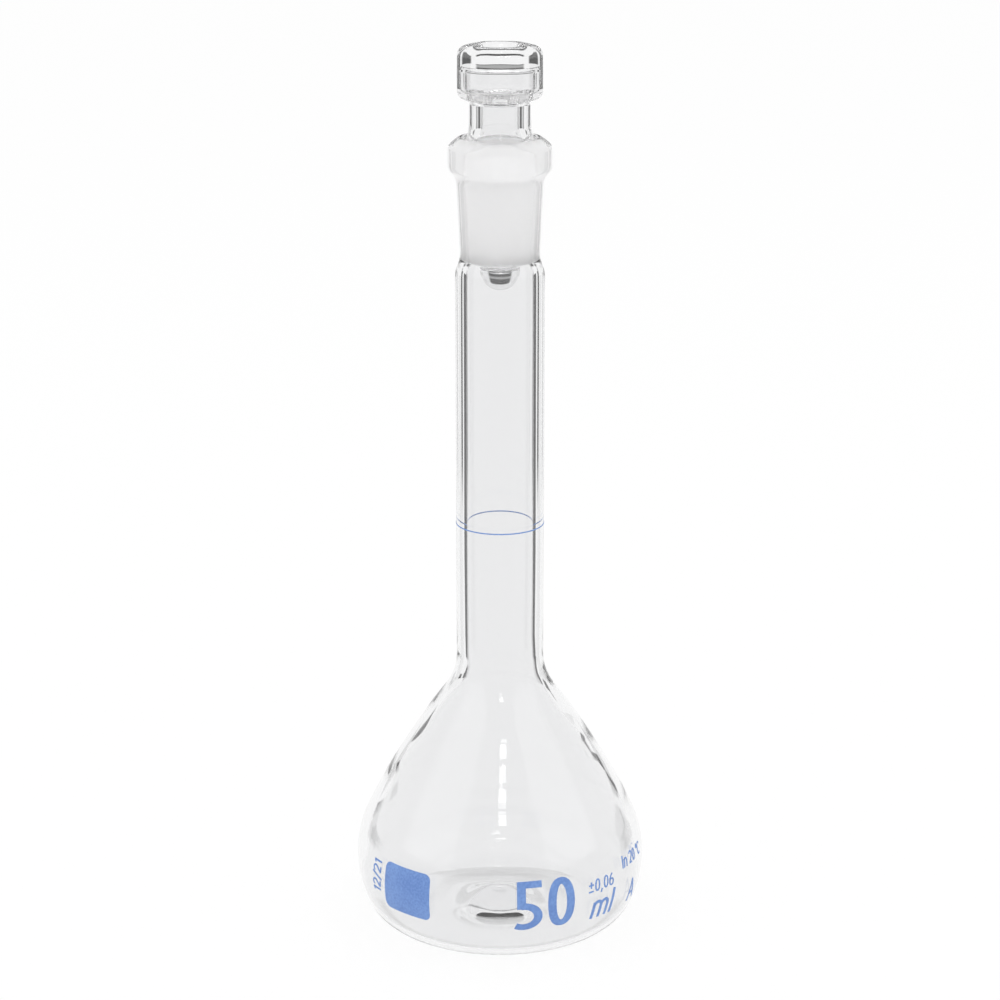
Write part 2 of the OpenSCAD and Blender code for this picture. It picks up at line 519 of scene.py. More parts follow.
@dataclass
class Pear:
    """Outline of the bulb: a foot, a belly and a shoulder of three tangent arcs, and a fillet into the neck."""

    bulb_d: float = 51.2
    belly_z: float = 11.5
    belly_r: float = 19.0
    foot_r: float = 6.5
    shoulder_a: float = 26.0
    shoulder_r: float = 143.0

    @property
    def belly(self) -> Array:
        """Middle of the belly's arc."""
        return np.array([self.bulb_d / 2 - self.belly_r, self.belly_z])

    @property
    def foot_a(self) -> float:
        """Angle below the level at which the foot's arc meets the belly's, in degrees."""
        return math.degrees(math.asin((self.belly_z - self.foot_r) / (self.belly_r - self.foot_r)))

    @property
    def foot(self) -> Array:
        """Middle of the foot's arc, above the standing ring."""
        a = math.radians(self.foot_a)
        return self.belly + (self.belly_r - self.foot_r) * np.array([math.cos(a), -math.sin(a)])

    def wall(self, inset: float, neck_r: float, fillet: float) -> Array:
        """The outline set in by a wall's thickness, from the standing ring up to the neck.

        Args:
            inset: Thickness that is taken off all round.
            neck_r: Radius of the neck where the fillet ends.
            fillet: Radius of the fillet.

        Returns:
            An array of points (radius, height).
        """
        tilt = math.radians(self.shoulder_a)
        shoulder = self.belly - (self.shoulder_r - self.belly_r) * np.array([math.cos(tilt), math.sin(tilt)])
        reach = self.shoulder_r - inset + fillet
        end = math.acos((neck_r + fillet - shoulder[0]) / reach)
        middle = shoulder + reach * np.array([math.cos(end), math.sin(end)])
        top = math.degrees(end)
        return np.vstack([
            arc(self.foot, self.foot_r - inset, -90.0, -self.foot_a),
            arc(self.belly, self.belly_r - inset, -self.foot_a, self.shoulder_a, 97),
            arc(shoulder, self.shoulder_r - inset, self.shoulder_a, top),
            arc(middle, fillet, 180.0 + top, 180.0),
        ])


# Waves of the blown wall: size, turns around, phase per millimetre upwards, phase at the start
BLOWN_WAVES = ((0.6, 2, 0.16, 0.7), (0.5, 3, -0.23, 2.1), (1.3, 1, 0.54, 0.5), (0.5, -2, 0.86, 0.0))


@dataclass
class FlaskGlass:
    """The blown body with its neck and the heavy socket sealed to it, as one skin of glass.

    The fades give a height and the length over which the wall's waves come in or go out.
    """

    clear: Material
    ground: Material
    pear: Pear = field(default_factory=Pear)
    wall: float = 1.75
    neck_r: float = 7.6
    bore_r: float = 5.8
    fillet: float = 11.3
    heel_wall: float = 1.0
    heel_lo: float = 4.0
    heel_hi: float = 15.0
    push_up: float = 1.2
    punt_r: float = 8.5
    base_lift: float = 0.35
    base_wall: float = 3.0
    floor_r: float = 9.2
    floor_wall: float = 1.3
    stand_w: float = 1.4
    mouth_z: float = 140.0
    mouth_r: float = 6.25
    slope: float = 0.05
    ground_lo: float = 119.0
    ground_hi: float = 139.5
    seal_lo: float = 116.6
    seal_hi: float = 120.2
    socket_wall: float = 1.45
    collar_r: float = 8.75
    collar_lo: float = 135.0
    bevel_h: float = 2.2
    rim_r: float = 0.5
    edge_r: float = 0.6
    rim_slope: float = 38.0
    grit_gap: float = 0.4
    uneven: float = 0.085
    fade_in: Span = (12.0, 8.0)
    fade_out: Span = (56.0, 10.0)
    spacing: Spacing = Spacing(0.2, 5, 2.0, 4.0)
    sides: int = 144

    def taper(self, z: float) -> float:
        """Radius of the ground taper at a height."""
        return self.mouth_r - (self.mouth_z - z) * self.slope

    def outside(self) -> Array:
        """Outline of the outer face, from the middle of the base to the top of the rim."""
        stand = self.pear.foot[0]
        neck = self.collar_lo - self.bevel_h
        rim = self.mouth_z - self.rim_r
        lean = 90.0 - self.rim_slope
        out = np.array([math.cos(math.radians(lean)), math.sin(math.radians(lean))])
        mouth = np.array([self.taper(rim) + self.rim_r, rim])
        width = self.collar_r - self.edge_r - mouth[0] - (self.rim_r - self.edge_r) * out[0]
        edge = mouth + width / out[1] * np.array([out[1], -out[0]]) + (self.rim_r - self.edge_r) * out
        return np.vstack([
            ease_out((0.0, self.push_up), (self.punt_r, self.base_lift)),
            ease_out((self.punt_r, self.base_lift), (stand - self.stand_w, 0.0)),
            self.pear.wall(0.0, self.neck_r, self.fillet),
            ease_up((self.neck_r, self.seal_lo), (self.taper(self.seal_hi) + self.socket_wall, self.seal_hi)),
            [[self.taper(neck) + self.socket_wall, neck]],
            ease_up((self.taper(neck) + self.socket_wall + 0.2, neck + 0.1), (self.collar_r, self.collar_lo)),
            arc(edge, self.edge_r, 0.0, lean),
            arc(mouth, self.rim_r, lean, 180.0),
        ])

    def bulb_inside(self) -> Array:
        """Outline of the bulb's inner face, from the heel up to the neck. The wall thins towards the heel."""
        full = self.pear.wall(self.wall, self.bore_r, self.fillet + self.wall)
        thin = self.pear.wall(self.heel_wall, self.bore_r, self.fillet + self.heel_wall)
        share = np.clip((self.heel_hi - full[:, 1:]) / (self.heel_hi - self.heel_lo), 0.0, 1.0)
        return full + (thin - full) * share ** 2 * (3.0 - 2.0 * share)

    def inside(self) -> Array:
        """Outline of the inner face, from the top of the taper down to the thick middle of the base."""
        floor = (self.floor_r, self.floor_wall)
        base = np.vstack([ease_out((0.0, self.push_up + self.base_wall), floor),
                          ease_out(floor, (self.pear.foot[0], self.heel_wall))])
        return np.vstack([
            [[self.taper(self.ground_hi), self.ground_hi]],
            ease_up((self.bore_r, self.seal_lo), (self.taper(self.ground_lo), self.ground_lo))[::-1],
            self.bulb_inside()[::-1],
            base[::-1],
        ])

    def blown(self, row_is_inner: Array) -> Shape:
        """The slight unevenness of a blown wall.

        Inside the bulb the radius gains slow waves around and up the flask, which fade out at the base and in
        the neck.

        Args:
            row_is_inner: For each row of the surface, 1 on the inner face and 0 outside.

        Returns:
            A function of radius, height and angle that gives the new radius.
        """

        def shape(r: Array, z: Array, a: Array) -> Array:
            rises = np.clip((z - self.fade_in[0]) / self.fade_in[1], 0.0, 1.0)
            fade = rises * np.clip((self.fade_out[0] - z) / self.fade_out[1], 0.0, 1.0)
            wave = sum(size * np.sin(around * a + up * z + shift) for size, around, up, shift in BLOWN_WAVES)
            return r + self.uneven * fade * wave * row_is_inner[:, None]

        return shape

    def build(self) -> None:
        """Makes the flask's glass and sets it on its body."""
        outer, inner = self.spacing.of(self.outside()), self.spacing.of(self.inside())
        outline = np.vstack([outer, inner[1:]])
        is_inner = (np.arange(len(outline)) >= len(outer)).astype(float)
        shell = revolved(outline, self.sides, self.blown(is_inner[1:-1]))
        z = outline[:, 1]
        middle = (z[:-1] + z[1:]) / 2
        grit = (is_inner[1:] > 0) & (middle > self.ground_lo) & (middle < self.ground_hi - self.grit_gap)
        piece = make_piece("flask_glass", shell, [self.clear, self.ground], grit[shell.rows])
        install(piece, Body.FLASK, Slot.CLEAR, "flask_body", "joint_socket")


# The stopper


@dataclass
class Stopper:
    """The hollow stopper: dished head with six flats, waist, ground cone and solid round tip.

    `flats_rise` and `flats_spread` say where the flats come in, and over what length.
    """

    clear: Material
    ground: Material
    flask: FlaskGlass
    gap: float = 0.03
    cone_hi: float = 139.6
    grit_hi: float = 139.2
    cone_lo: float = 119.5
    tip_z: float = 117.5
    tip_r: float = 3.4
    tip_wall: float = 5.2
    waist_r: float = 5.2
    flare_h: float = 2.3
    head_lo: float = 146.0
    head_hi: float = 155.2
    head_r: float = 6.65
    corner_r: float = 7.2
    flats: int = 6
    bend: float = 30.0
    edge_r: float = 1.9
    foot_r: float = 1.3
    dish_r: float = 4.5
    dish_depth: float = 2.2
    head_wall: float = 1.3
    cone_wall: float = 1.6
    throat_r: float = 3.2
    plug_hi: float = 137.0
    under: float = 0.4
    soft: float = 0.9
    flats_rise: Span = (0.2, 1.0)
    flats_spread: Span = (2.5, 3.0)
    spacing: Spacing = Spacing(0.15, 4, 3.0, 2.5)
    sides: int = 192

    def cone(self, z: float) -> float:
        """Radius of the ground cone at a height."""
        return self.flask.taper(z) - self.gap

    def outside(self) -> Array:
        """Outline of the outer face, from the tip to the middle of the dish."""
        turn = np.radians(np.linspace(0.0, 90.0, 33))
        top_r = self.cone(self.cone_hi)
        flare = np.c_[self.waist_r + (top_r - self.waist_r) * (1 - np.sin(turn)),
                      self.cone_hi + self.flare_h * (1 - np.cos(turn))]
        return np.vstack([
            arc((0.0, self.tip_z), self.tip_r, -90.0, 0.0),
            ease_up((self.tip_r, self.tip_z), (self.cone(self.cone_lo), self.cone_lo)),
            flare,
            arc((self.waist_r + self.under, self.head_lo - self.under), self.under, 180.0, 90.0, 13),
            arc((self.head_r - self.foot_r, self.head_lo + self.foot_r), self.foot_r, -90.0, 0.0),
            arc((self.head_r - self.edge_r, self.head_hi - self.edge_r), self.edge_r, 0.0, 90.0),
            ease_out((0.0, self.head_hi - self.dish_depth), (self.dish_r, self.head_hi), 49)[::-1],
        ])

    def inside(self) -> Array:
        """Outline of the hollow, from the middle of its ceiling down to its round end."""
        end_r = self.cone(self.cone_lo) - self.cone_wall
        room_r = self.head_r - self.head_wall
        room_lo = self.head_lo + self.head_wall
        room_hi = self.head_hi - self.dish_depth - self.head_wall
        soft = self.soft
        end_z = self.tip_z - self.tip_r + self.tip_wall + end_r
        return np.vstack([
            [[0.0, room_hi]],
            arc((room_r - soft, room_hi - soft), soft, 90.0, 0.0, 17),
            arc((room_r - soft, room_lo + soft), soft, 0.0, -90.0, 17),
            arc((self.throat_r + soft, room_lo - soft), soft, 90.0, 180.0, 17),
            ease_up((self.cone(self.plug_hi) - self.cone_wall, self.plug_hi),
                    (self.throat_r, self.cone_hi + self.flare_h))[::-1],
            arc((0.0, end_z), end_r, 0.0, -90.0),
        ])

    def flats_on(self) -> Shape:
        """The head's flats.

        The radius grows by the soft minimum of 1 / cos(angle from a flat's middle) and of the round corner's
        radius over the flat's. This comes in over the head's lower edge and goes out towards the dish.

        Returns:
            A function of radius, height and angle that gives the new radius.
        """

        def shape(r: Array, z: Array, a: Array) -> Array:
            sector = 2 * math.pi / self.flats
            off = (a + sector / 2) % sector - sector / 2
            corner = self.corner_r / self.head_r
            factor = (np.cos(off) ** self.bend + corner ** -self.bend) ** (-1.0 / self.bend)
            rise = np.clip((z - self.head_lo + self.flats_rise[0]) / self.flats_rise[1], 0.0, 1.0)
            spread = np.clip((r - self.flats_spread[0]) / self.flats_spread[1], 0.0, 1.0)
            blend = rise * rise * (3 - 2 * rise) * spread * spread * (3 - 2 * spread)
            return r * (1 + blend * (factor - 1))

        return shape

    def build(self) -> None:
        """Makes the stopper's glass and sets it on its body."""
        outer, inner = self.spacing.of(self.outside()), self.spacing.of(self.inside())
        skin = revolved(outer, self.sides, self.flats_on())
        hollow = revolved(inner, self.sides)
        middle = (outer[:-1] + outer[1:]) / 2
        grit = (middle[:, 1] > self.cone_lo) & (middle[:, 1] < self.grit_hi)
        choice = np.r_[grit[skin.rows], np.zeros(len(hollow.rows), bool)]
        piece = make_piece("stopper_glass", skin.joined(hollow), [self.clear, self.ground], choice)
        install(piece, Body.STOPPER, Slot.STOPPER, "stopper")


# The fired marks


@dataclass
class BulbSkin:
    """Lays flat marks on the outside of the bulb."""

    outline: Array

    def __post_init__(self) -> None:
        """Works out the run along the outline and its outward direction."""
        self.outline = evened(self.outline, 0.1)
        way = np.gradient(self.outline, axis=0)
        way /= np.hypot(*way.T)[:, None]
        self.out = np.c_[way[:, 1], -way[:, 0]]
        self.run = run_along(self.outline)

    def run_at(self, z: float) -> float:
        """Run along the outline at which it reaches a height."""
        return float(np.interp(z, self.outline[:, 1], self.run))

    def radius_at(self, z: float) -> float:
        """Radius of the bulb at a height."""
        return float(np.interp(z, self.outline[:, 1], self.outline[:, 0]))

    def lay(self, flat: Array, lift: Array, turn: float, z: float) -> Array:
        """Points of a flat drawing on the bulb.

        The drawing's upright axis follows the outline from a height z, its level axis the circle there, and the
        lift goes along the surface's outward direction.

        Args:
            flat: Array of points (level, upright), in millimetres.
            lift: Height of each point above the glass.
            turn: Direction of the drawing's origin, degrees from the front to the right.
            z: Height of the drawing's origin.

        Returns:
            An array of the points in metres.
        """
        run = self.run_at(z) + flat[..., 1]
        a = math.radians(turn) + flat[..., 0] / self.radius_at(z)
        r = np.interp(run, self.run, self.outline[:, 0]) + lift * np.interp(run, self.run, self.out[:, 0])
        up = np.interp(run, self.run, self.outline[:, 1]) + lift * np.interp(run, self.run, self.out[:, 1])
        return about_axis(r, a, up)


ENAMEL_LO, ENAMEL_HI = 0.012, 0.055


@dataclass
class RingMark:
    """The ring mark on the neck: a low band of enamel all round."""

    enamel: Material
    neck_r: float
    width: float = 0.22
    sides: int = 144

    def build(self) -> None:
        """Turns a low rounded section about the neck's axis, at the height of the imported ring."""
        low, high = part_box("graduation_ring")
        middle = (low[2] + high[2]) / 2 / MM
        across = np.array([-0.5, -0.5, -0.42, -0.2, 0.2, 0.42, 0.5, 0.5]) * self.width
        lift = np.array([ENAMEL_LO, 0.03, 0.048, ENAMEL_HI, ENAMEL_HI, 0.048, 0.03, ENAMEL_LO])
        a = np.linspace(0.0, 2 * np.pi, self.sides, endpoint=False)[None]
        r = (self.neck_r + lift)[:, None]
        z = np.repeat((middle + across)[:, None], self.sides, axis=1)
        points = about_axis(r, a, z)
        quads, rows = grid_faces(len(across), self.sides, True)
        shell = Shell(points.reshape(-1, 3), quads.tolist(), rows)
        piece = make_piece("ring_mark", shell, [self.enamel])
        install(piece, Body.FLASK, Slot.ENAMEL, "graduation_ring")


@dataclass
class NotePanel:
    """The plain panel for pencil notes: a rectangle with round corners that follows the belly."""

    enamel: Material
    skin: BulbSkin
    width: float = 10.4
    height: float = 8.6
    corner: float = 1.2
    z: float = 12.0
    turn: float = -40.0
    rings: int = 12

    def edge(self) -> Array:
        """Points round the panel's edge, anticlockwise from the upper right corner."""
        dx, dy = self.width / 2 - self.corner, self.height / 2 - self.corner
        quarter = [arc((sx * dx, sy * dy), self.corner, start, start + 90.0, 13)
                   for sx, sy, start in ((1, 1, 0.0), (-1, 1, 90.0), (-1, -1, 180.0), (1, -1, 270.0))]
        loop = np.vstack(quarter + [quarter[0][:1]])
        return evened(loop, 0.3)[:-1]

    def build(self) -> None:
        """Scales the edge down to the middle in even steps, once on top and once underneath."""
        edge = self.edge()
        steps = np.linspace(0.08, 0.96, self.rings)
        scale = np.r_[steps, 0.985, 0.998, 1.0, 1.0, steps[::-1]]
        lift = np.r_[np.full(self.rings, ENAMEL_HI), 0.05, 0.04, 0.03, np.full(self.rings + 1, ENAMEL_LO)]
        flat = scale[:, None, None] * edge[None]
        rings = self.skin.lay(flat, np.repeat(lift[:, None], len(edge), axis=1), self.turn, self.z)
        poles = self.skin.lay(np.zeros((2, 2)), np.array([ENAMEL_HI, ENAMEL_LO]), self.turn, self.z)
        shell = capped(rings[:, ::-1], poles[0], poles[1])
        piece = make_piece("note_panel", shell, [self.enamel])
        install(piece, Body.FLASK, Slot.ENAMEL, "writing_panel")


def line(*points: Point) -> Array:
    """A path of straight lines."""
    return np.array(points, float)


def bow(centre: Point, radii: Point, start: float, end: float) -> Array:
    """A path along an ellipse, between two angles in degrees."""
    a = np.radians(np.linspace(start, end, 41))
    return np.c_[centre[0] + radii[0] * np.cos(a), centre[1] + radii[1] * np.sin(a)]


def hoop(centre: Point, radii: Point, power: float = 2.0) -> Array:
    """A closed path along a rounded ellipse: the coordinates to that power add up to 1."""
    a = np.linspace(0.0, 2 * np.pi, 81)
    c, s = np.cos(a), np.sin(a)
    round_x = np.sign(c) * np.abs(c) ** (2 / power)
    round_y = np.sign(s) * np.abs(s) ** (2 / power)
    return np.c_[centre[0] + radii[0] * round_x, centre[1] + radii[1] * round_y]


@dataclass(frozen=True)
class Sign:
    """One printed sign, drawn by a pen: paths in units of the figure's height, and the width it takes."""

    advance: float
    paths: tuple[Array, ...]


def arch(x: float, span: float, top: float) -> Array:
    """A path up from a stem, over and down a second stem, as in n and m."""
    over = bow((x + span / 2, top - 0.2), (span / 2, 0.2), 150.0, 0.0)
    return np.vstack([over, line((x + span, 0.0))])


def signs() -> dict[str, Sign]:
    """The signs that the flask carries: figures, units and plain letters of the pen's own drawing.

    Returns:
        Each sign by its character.
    """
    two = np.vstack([bow((0.24, 0.7), (0.2, 0.25), 165.0, -35.0), line((0.04, 0.06), (0.46, 0.06))])
    six = bow((0.5, 0.3), (0.44, 0.64), 108.0, 180.0)
    return {
        "0": Sign(0.62, (hoop((0.27, 0.5), (0.186, 0.42), 2.25),)),
        "1": Sign(0.42, (line((0.05, 0.76), (0.24, 0.93), (0.24, 0.0)),)),
        "2": Sign(0.58, (two,)),
        "5": Sign(0.64, (line((0.08, 0.92), (0.53, 0.92)), line((0.145, 0.98), (0.145, 0.455)),
                         bow((0.185, 0.295), (0.272, 0.215), 99.0, -122.0))),
        "6": Sign(0.6, (six, hoop((0.27, 0.29), (0.2, 0.24), 2.1))),
        "±": Sign(0.62, (line((0.27, 0.36), (0.27, 0.84)), line((0.04, 0.6), (0.5, 0.6)),
                         line((0.04, 0.1), (0.5, 0.1)))),
        ",": Sign(0.28, (line((0.14, 0.13), (0.04, -0.18)),)),
        "/": Sign(0.46, (line((0.02, -0.12), (0.4, 1.06)),)),
        "m": Sign(1.0, (line((0.06, 0.0), (0.06, 0.72)), arch(0.06, 0.37, 0.72), arch(0.43, 0.37, 0.72))),
        "l": Sign(0.3, (line((0.1, 0.0), (0.1, 1.05)),)),
        "I": Sign(0.3, (line((0.12, 0.0), (0.12, 1.0)),)),
        "n": Sign(0.62, (line((0.08, 0.0), (0.08, 0.7)), arch(0.08, 0.38, 0.7))),
        "°": Sign(0.36, (hoop((0.15, 0.84), (0.11, 0.13)),)),
        "C": Sign(0.68, (bow((0.36, 0.5), (0.3, 0.45), 48.0, 312.0),)),
        "A": Sign(0.68, (line((0.03, 0.0), (0.31, 0.98)), line((0.31, 0.98), (0.59, 0.0)),
                         line((0.13, 0.32), (0.49, 0.32)))),
        " ": Sign(0.3, ()),
    }


@dataclass
class PrintedMark:
    """A short row of printed signs on the belly.

    Each stroke is a low ribbon of enamel: a rounded section carried along the pen's path, as wide as the stem
    where the path runs upright and as wide as the bar where it runs level.
    """

    name: str
    text: str
    turn: float
    z: float
    height: float
    stem: float
    bar: float
    slant: float = 0.0
    tilt: float = 0.0
    pen_step: float = 0.12

    def paths(self) -> list[Array]:
        """The pen's paths in millimetres, from the row's start at its base line."""
        table = signs()
        found: list[Array] = []
        pen = 0.0
        lean = math.tan(math.radians(self.slant))
        c, s = math.cos(math.radians(self.tilt)), math.sin(math.radians(self.tilt))
        for character in self.text:
            for path in table[character].paths:
                x = path[:, 0] + pen + lean * path[:, 1]
                y = path[:, 1]
                found.append(np.c_[c * x - s * y, s * x + c * y] * self.height)
            pen += table[character].advance
        return found

    def ribbon(self, path: Array, skin: BulbSkin) -> Shell:
        """The ribbon along one path.

        Args:
            path: Points (level, upright) in millimetres.
            skin: The bulb that carries it.

        Returns:
            The closed ribbon.
        """
        closed = bool(np.hypot(*(path[0] - path[-1])) < 1e-6)
        path = evened(path, self.pen_step)
        if closed:
            path = path[:-1]
            way = (np.roll(path, -1, axis=0) - np.roll(path, 1, axis=0)) / 2
        else:
            way = np.gradient(path, axis=0)
        way /= np.hypot(*way.T)[:, None]
        half = np.hypot(self.stem * way[:, 1], self.bar * way[:, 0]) / 2
        left = np.c_[-way[:, 1], way[:, 0]]
        side = np.array([-1.0, -0.9, -0.45, 0.0, 0.45, 0.9, 1.0, 1.0, 0.4, -0.4, -1.0])
        lift = np.r_[0.034, 0.05, np.full(3, ENAMEL_HI), 0.05, 0.034, np.full(4, ENAMEL_LO)]
        flat = path[:, None] + (half[:, None] * side[None])[..., None] * left[:, None]
        points = skin.lay(flat, np.repeat(lift[None], len(path), axis=0), self.turn, self.z)
        rows, columns = points.shape[:2]
        quads, lies = grid_faces(rows, columns, closed)
        faces = quads[:, ::-1].tolist()
        if not closed:
            faces.append(list(range(columns)))
            faces.append([(rows - 1) * columns + k for k in reversed(range(columns))])
            lies = np.r_[lies, 0, rows - 1]
        return Shell(points.reshape(-1, 3), faces, lies)

    def build(self, enamel: Material, skin: BulbSkin) -> None:
        """Makes the row as one piece.

        Args:
            enamel: Its material.
            skin: The bulb that carries it.
        """
        shell = reduce(Shell.joined, (self.ribbon(path, skin) for path in self.paths()))
        install(make_piece(self.name, shell, [enamel]), Body.FLASK, Slot.ENAMEL)


MARKS = (
    PrintedMark("capacity_figures", "50", 5.2, 7.2, 9.3, 1.52, 1.2),
    PrintedMark("unit_mark", "ml", 38.2, 6.9, 4.4, 0.68, 0.6, slant=9.0, tilt=-2.0),
    PrintedMark("tolerance_mark", "±0,06", 36.6, 12.0, 2.35, 0.34, 0.3, slant=4.0),
    PrintedMark("temperature_mark", "In 20 °C", 57.2, 13.7, 2.3, 0.4, 0.34, tilt=-2.0),
    PrintedMark("class_mark", "A", 63.2, 6.4, 4.2, 0.5, 0.42),
    PrintedMark("joint_size_mark", "12/21", -54.6, 9.6, 2.5, 0.4, 0.36, tilt=90.0),
)


# The studio


@dataclass
class LampPanel:
    """One soft lamp: a rectangle that looks at the flask."""

    name: str
    turn: float
    rise: float
    wide: float
    high: float
    glow: float
    far: float = 1.0
    target: Triple = (0.0, 0.0, 0.03)

    def build(self) -> None:
        """Makes the lamp. Its power is its glow times its area and pi."""
        lamp = bpy.data.lights.new(self.name, "AREA")
        lamp.shape = "RECTANGLE"
        lamp.size, lamp.size_y = self.wide, self.high
        lamp.energy = self.glow * math.pi * self.wide * self.high
        a, e = math.radians(self.turn), math.radians(self.rise)
        target = Vector(self.target)
        place = target + self.far * Vector((math.sin(a) * math.cos(e), -math.cos(a) * math.cos(e), math.sin(e)))
        thing = bpy.data.objects.new(self.name, lamp)
        look = (place - target).to_track_quat("Z", "Y").to_matrix().to_4x4()
        thing.matrix_world = Matrix.Translation(place) @ look
        thing.visible_camera = False
        bpy.context.scene.collection.objects.link(thing)


@dataclass
class Studio:
    """A pale table, soft lamps and a white room.

    Behind the flask the table carries bands of painted shade and the room a dark patch, which draw the glass's edges.
    The bands show only in glass, the patch to all but the camera. Lengths are in metres, angles in radians.
    """

    reach: float = 3.0
    table: float = 0.9
    table_grain: float = 0.01
    fibres_per_metre: float = 300.0
    fibre_span: Span = (0.2, 0.8)
    own_white: float = 0.88
    dark: float = 0.1
    dark_from: Span = (0.1, 0.13)
    inner_from: Span = (0.24, 0.32)
    inner_band: Span = (0.57, 0.725)
    outer_band: Span = (0.845, 1.15)
    band_soft: float = 0.025
    near_to: float = 0.22
    corner: float = 0.03
    patch_side: Span = (0.32, 0.42)
    patch_foot: Span = (-0.02, 0.0)
    patch_top: Span = (0.32, 0.38)
    pale_strip: Span = (0.07, 0.145)
    pale_share: float = 0.4
    rings: int = 60
    spokes: int = 96
    level: float = -2e-5

    def seen(self, nodes: Nodes) -> tuple[Socket, Socket]:
        """Whether a ray comes from the camera, and whether from a mirror-like or clear surface.

        Args:
            nodes: The tree that asks.

        Returns:
            Two sockets of 0 or 1.
        """
        path = nodes.add("ShaderNodeLightPath")
        glass = nodes.math("MAXIMUM", path.outputs["Is Glossy Ray"], path.outputs["Is Transmission Ray"])
        return path.outputs["Is Camera Ray"], glass

    def band(self, nodes: Nodes, turn: Socket, ends: Span) -> Socket:
        """A soft-edged band of directions.

        Args:
            nodes: The tree that asks.
            turn: The angle from the flask's depth axis, or the rise of a direction.
            ends: The values at which the band starts and ends.

        Returns:
            1 inside the band and 0 outside.
        """
        start = nodes.ramp(turn, ends[0] - self.band_soft, ends[0] + self.band_soft)
        return nodes.math("MULTIPLY", start,
                          nodes.ramp(turn, ends[1] - self.band_soft, ends[1] + self.band_soft, 1.0, 0.0))

    def table_finish_with_painted_shade(self) -> Material:
        """Pale matt table.

        To the camera it is white and keeps the shadow. The glass sees two bands of painted shade behind on each side,
        with white between them; the same bands darken the table's colour, for glass only.

        Returns:
            The material.
        """
        material, nodes, where = new_material("pale_table")
        camera, glass = self.seen(nodes)
        axes = nodes.add("ShaderNodeSeparateXYZ", Vector=where)
        x, y = nodes.math("ABSOLUTE", axes.outputs["X"]), axes.outputs["Y"]
        far = nodes.math("SQRT", nodes.math("ADD", nodes.math("MULTIPLY", x, x), nodes.math("MULTIPLY", y, y)))
        turn = nodes.math("ARCTAN2", x, y)
        # painted shade: two dark bands on each side behind, cut from the table's glow and colour for glass rays only
        inner = nodes.math("MULTIPLY", self.band(nodes, turn, self.inner_band), nodes.ramp(far, *self.inner_from))
        near = nodes.math("MAXIMUM", nodes.math("SUBTRACT", self.near_to, far), 0.0)
        outer = self.band(nodes, nodes.math("SUBTRACT", turn, near), self.outer_band)
        fall = nodes.math("MULTIPLY", nodes.math("MAXIMUM", inner, outer),
                          nodes.ramp(far, *self.dark_from, 0.0, 1.0 - self.dark))
        # the table's level, with the painted shade taken out where glass looks
        sheet_level_with_painted_shade = nodes.math("SUBTRACT", 1.0, nodes.math("MULTIPLY", fall, glass))
        own = nodes.math("MULTIPLY", nodes.math("MAXIMUM", camera, glass), self.own_white)
        fibre = nodes.noise(where, self.fibres_per_metre, 3.0)
        shade = nodes.ramp(fibre, *self.fibre_span, self.table - self.table_grain, self.table + self.table_grain)
        grey = nodes.math("MULTIPLY", shade, sheet_level_with_painted_shade)
        paper = nodes.add("ShaderNodeCombineXYZ", X=grey, Y=grey, Z=grey)
        matt = nodes.add("ShaderNodeBsdfDiffuse", Color=paper.outputs["Vector"])
        glow = nodes.add("ShaderNodeEmission", Color=(1.0, 1.0, 1.0, 1.0), Strength=sheet_level_with_painted_shade)
        mixed = nodes.add("ShaderNodeMixShader", Fac=own)
        nodes.put(mixed.inputs[1], matt.outputs["BSDF"])
        nodes.put(mixed.inputs[2], glow.outputs["Emission"])
        nodes.add("ShaderNodeOutputMaterial", Surface=mixed.outputs["Shader"])
        return material

    def build_table(self) -> None:
        """A round table top just under the standing ring."""
        radii = np.linspace(0.02, self.reach, self.rings)[:, None]
        a = np.linspace(0.0, 2 * np.pi, self.spokes, endpoint=False)
        level = np.full((self.rings, self.spokes), self.level)
        rings = np.stack([radii * np.sin(a), radii * np.cos(a), level], axis=-1)
        quads, rows = grid_faces(self.rings, self.spokes, False)
        middle = self.rings * self.spokes
        fan = [[middle, (k + 1) % self.spokes, k] for k in range(self.spokes)]
        points = np.vstack([rings.reshape(-1, 3), [[0.0, 0.0, self.level]]])
        shell = Shell(points, quads.tolist() + fan, np.r_[rows, np.zeros(self.spokes, int)])
        table = make_piece("table_top", shell, [self.table_finish_with_painted_shade()])

    def build_room(self) -> None:
        """The room: white to the camera; to all else white with a dark patch low behind, split by a paler strip."""
        world = bpy.data.worlds.new("light_room")
        bpy.context.scene.world = world
        world.use_nodes = True
        nodes = Nodes(world.node_tree)
        camera, _ = self.seen(nodes)
        way = nodes.add("ShaderNodeTexCoord").outputs["Generated"]
        axes = nodes.add("ShaderNodeSeparateXYZ", Vector=way)
        rise = axes.outputs["Z"]
        turn = nodes.math("ARCTAN2", nodes.math("ABSOLUTE", axes.outputs["X"]), axes.outputs["Y"])
        across = nodes.ramp(turn, *self.patch_side, 1.0, 0.0)
        height = nodes.math("MULTIPLY", nodes.ramp(rise, *self.patch_foot), nodes.ramp(rise, *self.patch_top, 1.0, 0.0))
        strip = nodes.math("MULTIPLY", self.band(nodes, rise, self.pale_strip), self.pale_share)
        patch = nodes.math("MULTIPLY", nodes.math("MULTIPLY", across, height), nodes.math("SUBTRACT", 1.0, strip))
        fall = nodes.math("MULTIPLY", patch, 1.0 - self.corner)
        level = nodes.math("MAXIMUM", nodes.math("SUBTRACT", 1.0, fall), camera)
        back = nodes.add("ShaderNodeBackground", Color=(1.0, 1.0, 1.0, 1.0), Strength=level)
        nodes.add("ShaderNodeOutputWorld", Surface=back.outputs["Background"])

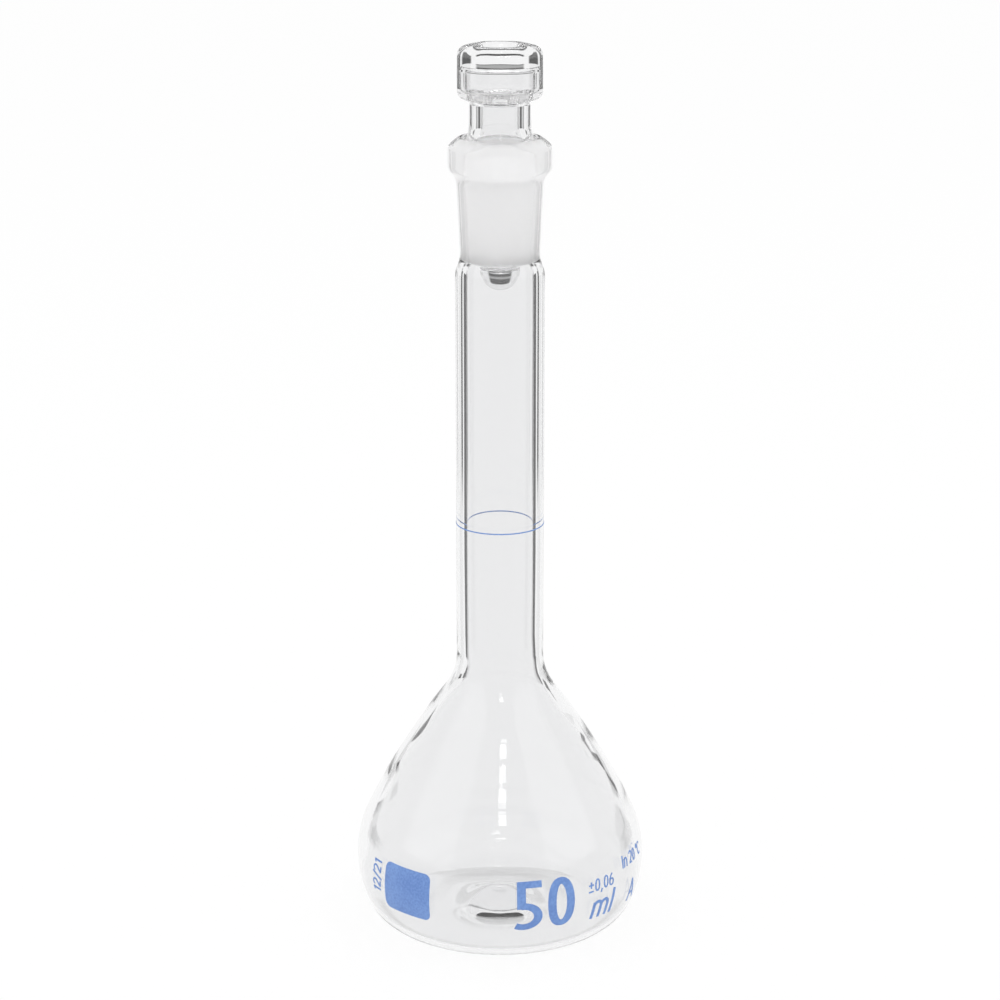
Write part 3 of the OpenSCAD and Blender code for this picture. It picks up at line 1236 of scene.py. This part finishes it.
    def build_lamps(self) -> None:
        """A column of small lamp panels over the camera, and three large soft lamps round the flask."""
        middle = (0.0, 0.0, 0.07)
        lamps = (
            LampPanel("strip_top", 4.5, 44.6, 0.13, 0.046, 5.0),
            LampPanel("strip_upper", 3.4, 40.8, 0.125, 0.05, 4.5),
            LampPanel("strip_middle", 2.9, 37.2, 0.12, 0.038, 4.5),
            LampPanel("strip_lower", 2.5, 33.0, 0.115, 0.031, 4.5),
            LampPanel("strip_foot", 1.0, 30.1, 0.13, 0.005, 4.5),
            LampPanel("soft_left", -65.0, 32.0, 0.8, 0.8, 0.4, 0.9, middle),
            LampPanel("soft_right", 65.0, 32.0, 0.8, 0.8, 0.4, 0.9, middle),
            LampPanel("soft_over", 0.0, 88.0, 0.9, 0.9, 0.3, 0.9, middle),
        )
        for lamp in lamps:
            lamp.build()


@dataclass
class PhotoCamera:
    """The camera at the photograph's place: in front, a little above the stopper, looking down at the flask."""

    back: float = 0.4346
    up: float = 0.2053
    pitch: float = 0.2872
    lens: float = 94.21
    sensor: float = 36.0

    def build(self) -> None:
        """Makes the camera and gives it to the scene."""
        data = bpy.data.cameras.new("photo_camera")
        data.lens, data.sensor_width, data.clip_start = self.lens, self.sensor, 0.01
        camera = bpy.data.objects.new("photo_camera", data)
        turn = Matrix.Rotation(math.pi / 2 - self.pitch, 4, "X")
        camera.matrix_world = Matrix.Translation((0.0, -self.back, self.up)) @ turn
        bpy.context.scene.collection.objects.link(camera)
        bpy.context.scene.camera = camera


def set_light_paths() -> None:
    """Plain view colours, and enough bounces for light to cross all walls of the flask and the stopper."""
    scene = bpy.context.scene
    scene.view_settings.view_transform = "Standard"
    scene.cycles.max_bounces = 28
    scene.cycles.transmission_bounces = 28
    scene.cycles.glossy_bounces = 10
    scene.cycles.diffuse_bounces = 8
    scene.cycles.blur_glossy = 0.0
    scene.cycles.use_denoising = True


def main() -> None:
    """Builds the flask, the stopper, the marks and the studio in order."""
    logging.basicConfig(level=logging.INFO, format="%(name)s: %(message)s")
    clear = BlownGlass("clear_blown_glass").material()
    pressed = BlownGlass("clear_stopper_glass", waves_per_metre=120.0, wave_height=1.2e-5).material()
    ground = GroundGlass("ground_joint_glass").material()
    enamel = FiredEnamel("fired_blue_enamel").material()

    flask = FlaskGlass(clear, ground)
    flask.build()
    Stopper(pressed, ground, flask).build()

    skin = BulbSkin(flask.pear.wall(0.0, flask.neck_r, flask.fillet))
    RingMark(enamel, flask.neck_r).build()
    NotePanel(enamel, skin).build()
    for mark in MARKS:
        mark.build(enamel, skin)

    studio = Studio()
    studio.build_table()
    studio.build_room()
    studio.build_lamps()
    PhotoCamera().build()
    set_light_paths()


if __name__ == "__main__":
    main()
